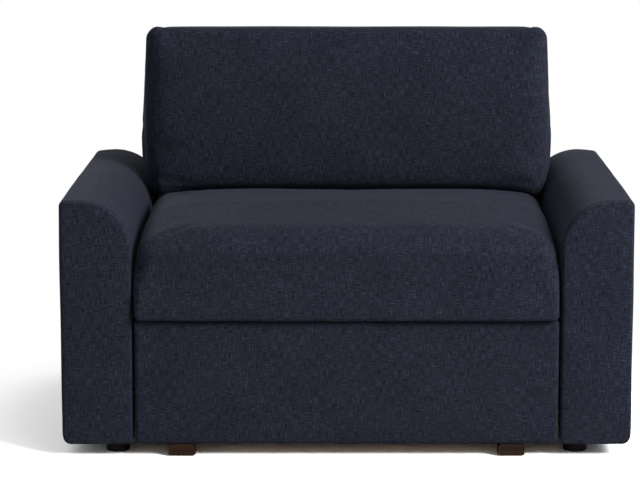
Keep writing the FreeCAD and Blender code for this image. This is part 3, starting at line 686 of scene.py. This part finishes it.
def arm_cover(word, side, fabric):
    """The cloth round one arm."""
    low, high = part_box(f"{word}_arm_cover")
    cover = soft_block(f"{word}_arm_fabric", low, high, flipped(ARM_CORNERS, side), same_ends(0.004, 0.012),
                       run=Y, step=0.014)
    crown(cover, Z, height=0.004, power=4)
    crown(cover, X, height=0.001 * side, power=3)
    crown(cover, X, height=-0.0015 * side, power=3)
    crown(cover, Y, height=0.003, power=3)
    shape_arm_rear(cover)
    unevenness(cover, size=0.16, height=0.0012, seed=3 + side)
    refine(cover)
    dress(cover, "chair", fabric, "upholstery", f"{word}_arm_cover")


def arm_facing(word, side, fabric):
    """The panel that is sewn into the front of one arm."""
    low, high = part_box(f"{word}_arm_facing")
    high.y += FACING_OVERLAP
    inner, outer = sorted((abs(low.x), abs(high.x)))
    low.x, high.x = span(side, inner, outer - FACING_INSET)
    facing = soft_block(f"{word}_arm_front", low, high, flipped(FACING_CORNERS, side), same_ends(0.006, 0.001),
                        run=Y, step=0.012)
    crown(facing, Y, height=-0.0035, power=4)
    unevenness(facing, size=0.12, height=0.0008, seed=7 + side)
    refine(facing)
    dress(facing, "chair", fabric, "upholstery", f"{word}_arm_facing")


def shape_arm_rear(cover):
    """Let the top of an arm rise inwards and fall outwards, more and more towards the back."""
    points = coordinates(cover.data)
    distance = np.abs(points[:, X])
    backward = progress(points[:, Y], *ARM_REAR) * progress(points[:, Z], *ARM_TOP)
    inward, outward = progress(distance, *ARM_INSIDE), progress(distance, *ARM_OUTSIDE)
    points[:, Z] += backward * (ARM_LIFT * inward**2 - ARM_DROP * outward**2)
    move_points(cover.data, points)


SEAT_LIP = 0.0065  # how far the fabric hangs down in front of the seam's hinges
SEAT_STAND_OUT = 0.006  # how far its front stands out from the solid's
SEAT_REAR_TOP = 0.547
SEAT_CORNERS = ((0.014, 0.050), (0.014, 0.050))
SEAT_ENDS = ((0.008, 0.064), (0.012, 0.010))
SEAT_FRONT_DROP = 0.024
SEAT_SIDE_DROP = 0.011
SEAT_DRAWN_IN = 0.004
SEAT_HALF = 0.4925  # the most that fits between the arms
# The cloth that stays in place while the cushion swells: all round its bottom, and up to a height at its sides.
SEAT_HELD_BASE = 0.02
SEAT_HELD_HALF = 0.4885
SEAT_HELD_TOP = 0.46
POCKET_GAP = 0.0008
POCKET_BOTTOM = 0.25
POCKET_REAR = 0.2


def seat(fabric):
    """The crowned seat cushion, hollow underneath for the foot mattress."""
    low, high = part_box("seat_cushion")
    low.z -= SEAT_LIP
    cushion = soft_block("seat_cushion_fabric", (low.x, low.y - SEAT_STAND_OUT, low.z),
                         (high.x, high.y, SEAT_REAR_TOP), SEAT_CORNERS, SEAT_ENDS, run=Y, step=0.012)
    points = coordinates(cushion.data)
    height = (points[:, Z] - low.z) / (SEAT_REAR_TOP - low.z)
    forward = progress(points[:, Y], (low.y + high.y) / 2, low.y)
    sideways = np.abs(points[:, X] / high.x) ** 4
    points[:, Z] -= height * (SEAT_FRONT_DROP * forward + SEAT_SIDE_DROP * sideways)
    points[:, X] *= 1 - SEAT_DRAWN_IN * (1 - np.sin(np.pi * np.clip(height, 0, 1)))
    move_points(cushion.data, points)
    crown(cushion, Z, height=0.007, power=2)
    crown(cushion, Y, height=-0.003, power=4)
    points = coordinates(cushion.data)
    at_base = points[:, Z] < low.z + SEAT_HELD_BASE
    at_sides = (np.abs(points[:, X]) > SEAT_HELD_HALF) & (points[:, Z] < SEAT_HELD_TOP)
    inflate(cushion, at_base | at_sides, reach=0.006)
    unevenness(cushion, size=0.14, height=0.0016, seed=5)
    refine(cushion)
    points = coordinates(cushion.data)
    points[:, X] = np.clip(points[:, X], -SEAT_HALF, SEAT_HALF)
    move_points(cushion.data, points)
    carve(cushion, seat_pocket())
    dress(cushion, "foot_section", fabric, "upholstery", "seat_cushion")
    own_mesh(cushion)


def seat_pocket():
    """The space under the seat cushion that the foot board, its front rail and the mattress fill."""
    low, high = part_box("foot_board")
    rail_low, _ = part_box("foot_front_rail")
    return soft_block("pocket", (low.x - POCKET_GAP, rail_low.y - POCKET_GAP, POCKET_BOTTOM),
                      (high.x + POCKET_GAP, POCKET_REAR, high.z + POCKET_GAP), same_corners(0.002),
                      same_ends(0.002, 0.002), run=Y, step=0.1)


BACK_HALF = 0.505
BACK_FACE_INSET = 0.016
BACK_BELOW = 0.021
BACK_ABOVE = 0.008
BACK_CORNERS = ((0.042, 0.095), (0.042, 0.095))
BACK_ENDS = ((0.030, 0.012), (0.025, 0.05))
BACK_MIDDLE = 0.2  # the front of the cushion lies before this y
# How deep the cloth is held at the rear and at the bottom while the cushion swells.
BACK_HELD_REAR = 0.004
BACK_HELD_BASE = 0.008
# Where the lower and the upper part start and end to change their form along z, their corners outwards from the
# middle, and how far each change goes.
LOW_PART = (0.61, 0.55)
LOW_CORNER, LOW_CORNER_DROOP = (0.37, 0.47), 0.012
LOW_NARROWING = 0.022
LOW_TUCK = 0.008
TOP_PART = (0.85, 0.94)
TOP_CORNER, TOP_CORNER_DROP = (0.42, 0.51), 0.004
TOP_SLOPE = 0.030


def back_cushion(fabric):
    """The loose back cushion, crowned in front and drawn in at its rear corners."""
    low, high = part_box("back_cushion")
    face = low.y + BACK_FACE_INSET
    cushion = soft_block("back_cushion_fabric", (-BACK_HALF, face, low.z - BACK_BELOW),
                         (BACK_HALF, high.y, high.z + BACK_ABOVE), BACK_CORNERS, BACK_ENDS, run=Z, step=0.012)
    crown(cushion, Y, height=-0.014, power=2)
    crown(cushion, X, height=0.009, power=2)
    crown(cushion, X, height=-0.009, power=2)
    points = coordinates(cushion.data)
    distance = np.abs(points[:, X])
    in_front = points[:, Y] < BACK_MIDDLE
    lowness = progress(points[:, Z], *LOW_PART) ** 2
    upness = progress(points[:, Z], *TOP_PART)
    points[:, Z] -= LOW_CORNER_DROOP * lowness * progress(distance, *LOW_CORNER) ** 2
    points[:, Z] -= TOP_SLOPE * upness * progress(points[:, Y], face, high.y)
    points[:, Z] -= TOP_CORNER_DROP * upness * progress(distance, *TOP_CORNER) ** 2
    points[:, X] *= 1 - LOW_NARROWING * lowness
    points[:, Y] += LOW_TUCK * lowness * in_front
    move_points(cushion.data, points)
    at_rear = points[:, Y] > high.y - BACK_HELD_REAR
    at_base = points[:, Z] < low.z - BACK_HELD_BASE
    inflate(cushion, at_rear | at_base, reach=0.008)
    unevenness(cushion, size=0.17, height=0.002, seed=2)
    refine(cushion)
    dress(cushion, "back_cushion", fabric, "upholstery", "back_cushion")
    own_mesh(cushion)


PANEL_REAR_GAP = 0.0005


def front_panel(fabric):
    """The padded panel under the seat."""
    low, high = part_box("front_panel_cover")
    panel = soft_block("front_panel_fabric", low, (high.x, high.y - PANEL_REAR_GAP, high.z), same_corners(0.012),
                       same_ends(0.010, 0.001), run=Y, step=0.014)
    crown(panel, Y, height=-0.004, power=6)
    unevenness(panel, size=0.15, height=0.0012, seed=9)
    refine(panel)
    dress(panel, "middle_section", fabric, "upholstery", "front_panel_cover")
    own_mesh(panel)


def back_panels(fabric):
    """The two panels that close the back of the chair."""
    for seed, part in enumerate(("lower", "upper")):
        low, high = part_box(f"back_{part}_cover")
        panel = soft_block(f"back_{part}_fabric", low, high, same_corners(0.009), same_ends(0.001, 0.008),
                           run=Y, step=0.016)
        crown(panel, Y, height=0.005, power=4)
        unevenness(panel, size=0.15, height=0.0012, seed=12 + seed)
        refine(panel)
        dress(panel, "chair", fabric, "upholstery", f"back_{part}_cover")


CAP_END = 0.458  # how far out the cap starts to bend down
CAP_END_DROP = 0.014


def back_cap(fabric):
    """The padding along the top of the back."""
    low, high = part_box("back_cap")
    cap = soft_block("back_cap_fabric", low, high, same_corners(0.0065), same_ends(0.006, 0.006),
                     run=X, step=0.014)
    crown(cap, Z, height=0.003, power=4)
    points = coordinates(cap.data)
    points[:, Z] -= CAP_END_DROP * progress(np.abs(points[:, X]), CAP_END, high.x) ** 2
    move_points(cap.data, points)
    unevenness(cap, size=0.12, height=0.0008, seed=15)
    refine(cap)
    dress(cap, "chair", fabric, "upholstery", "back_cap")


WING_OVERLAP = 0.0005
WING_BELOW = 0.06
WING_ABOVE = 0.003
WING_REAR = 0.474


def wings(fabric):
    """The covers at both sides of the back, above the arms."""
    low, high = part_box("wing_covers")
    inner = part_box("right_arm_cover")[0].x
    for word, side in SIDES:
        left, right = span(side, inner - WING_OVERLAP, high.x)
        wing = soft_block(f"{word}_wing_fabric", (left, low.y, low.z - WING_BELOW),
                          (right, WING_REAR, high.z + WING_ABOVE), same_corners(0.007), same_ends(0.006, 0.002),
                          run=Z, step=0.012)
        crown(wing, X, height=0.003 * side, power=3)
        refine(wing)
        dress(wing, "chair", fabric, "upholstery", "wing_covers")


FACE_LEVEL = 0.9  # points whose normal has at least this share along the thickness lie on a face
CHANNEL_DEPTH = 0.004
CHANNEL_WIDTH = 0.008
BINDING_RADIUS = 0.0032
BINDING_INSET = 0.0041


def mattress(part, run, rows, seed, tick, edge):
    """A foam mattress in ticking, stitched across in channels, with a bound edge round both faces."""
    low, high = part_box(f"{part}_mattress")
    pad = soft_block(f"{part}_pad", low, high, same_corners(0.022), same_ends(0.014, 0.014), run, step=0.0125)
    sew_channels(pad, low, high, run, rows)
    unevenness(pad, size=0.07, height=0.0015, seed=seed)
    refine(pad)
    dress(pad, f"{part}_section", tick, "ticking", f"{part}_mattress")
    others = [axis for axis in range(3) if axis != run]
    first_corner = [low[axis] + BINDING_INSET for axis in others]
    last_corner = [high[axis] - BINDING_INSET for axis in others]
    path = outline(first_corner, last_corner, radius=0.018, spacing=0.02)
    for number, level in enumerate((low[run] + BINDING_INSET, high[run] - BINDING_INSET)):
        loop = []
        for first, second in path:
            place = [0, 0, 0]
            place[others[0]], place[others[1]], place[run] = first, second, level
            loop.append(place)
        binding = piping(f"{part}_pad_edge_{number}", pad, loop, BINDING_RADIUS)
        dress(binding, f"{part}_section", edge, "ticking")


def sew_channels(pad, low, high, run, rows):
    """Press grooves into both faces of a mattress, evenly spaced along its length."""
    length = Z if run == Y else Y
    points, facing = coordinates(pad.data), normals(pad.data)
    pitch = (high[length] - low[length]) / rows
    offset = np.abs((points[:, length] - low[length] + pitch / 2) % pitch - pitch / 2)
    inner = (points[:, length] > low[length] + pitch / 2) & (points[:, length] < high[length] - pitch / 2)
    level = np.abs(facing[:, run]) > FACE_LEVEL
    groove = np.exp(-((offset / CHANNEL_WIDTH) ** 2)) * inner * level
    points[:, run] -= np.sign(facing[:, run]) * CHANNEL_DEPTH * groove
    move_points(pad.data, points)


def carried_pieces():
    """Timber, steel and plastic that keep their shape from the frame."""
    finishes = {}
    for name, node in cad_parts.items():
        low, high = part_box(name)
        size = high - low
        slot = node.data.materials[0].name.split(".")[0]
        longest = max(range(3), key=lambda axis: size[axis])
        if slot in TIMBERS:
            key = (slot, longest)
            if key not in finishes:
                finishes[key] = timber(slot, axis=longest, **TIMBERS[slot])
        elif slot in COATINGS:
            key = slot
            if key not in finishes:
                finishes[key] = coated(**COATINGS[slot])
        else:
            continue
        for place in node.material_slots:
            place.material = finishes[key]


studio()
fabric = tweed()
tick = ticking("pale_ticking", TICKING_TONES, striped=True)
edge = ticking("ticking_binding", BINDING_TONES, striped=False)
carried_pieces()
for word, side in SIDES:
    arm_cover(word, side, fabric)
    arm_facing(word, side, fabric)
seat(fabric)
back_cushion(fabric)
front_panel(fabric)
back_panels(fabric)
back_cap(fabric)
wings(fabric)
for part, run, rows, seed in (("head", Y, 5, 8), ("middle", Z, 7, 10), ("foot", Z, 5, 8)):
    mattress(part, run, rows, seed, tick, edge)

bpy.context.view_layer.update()
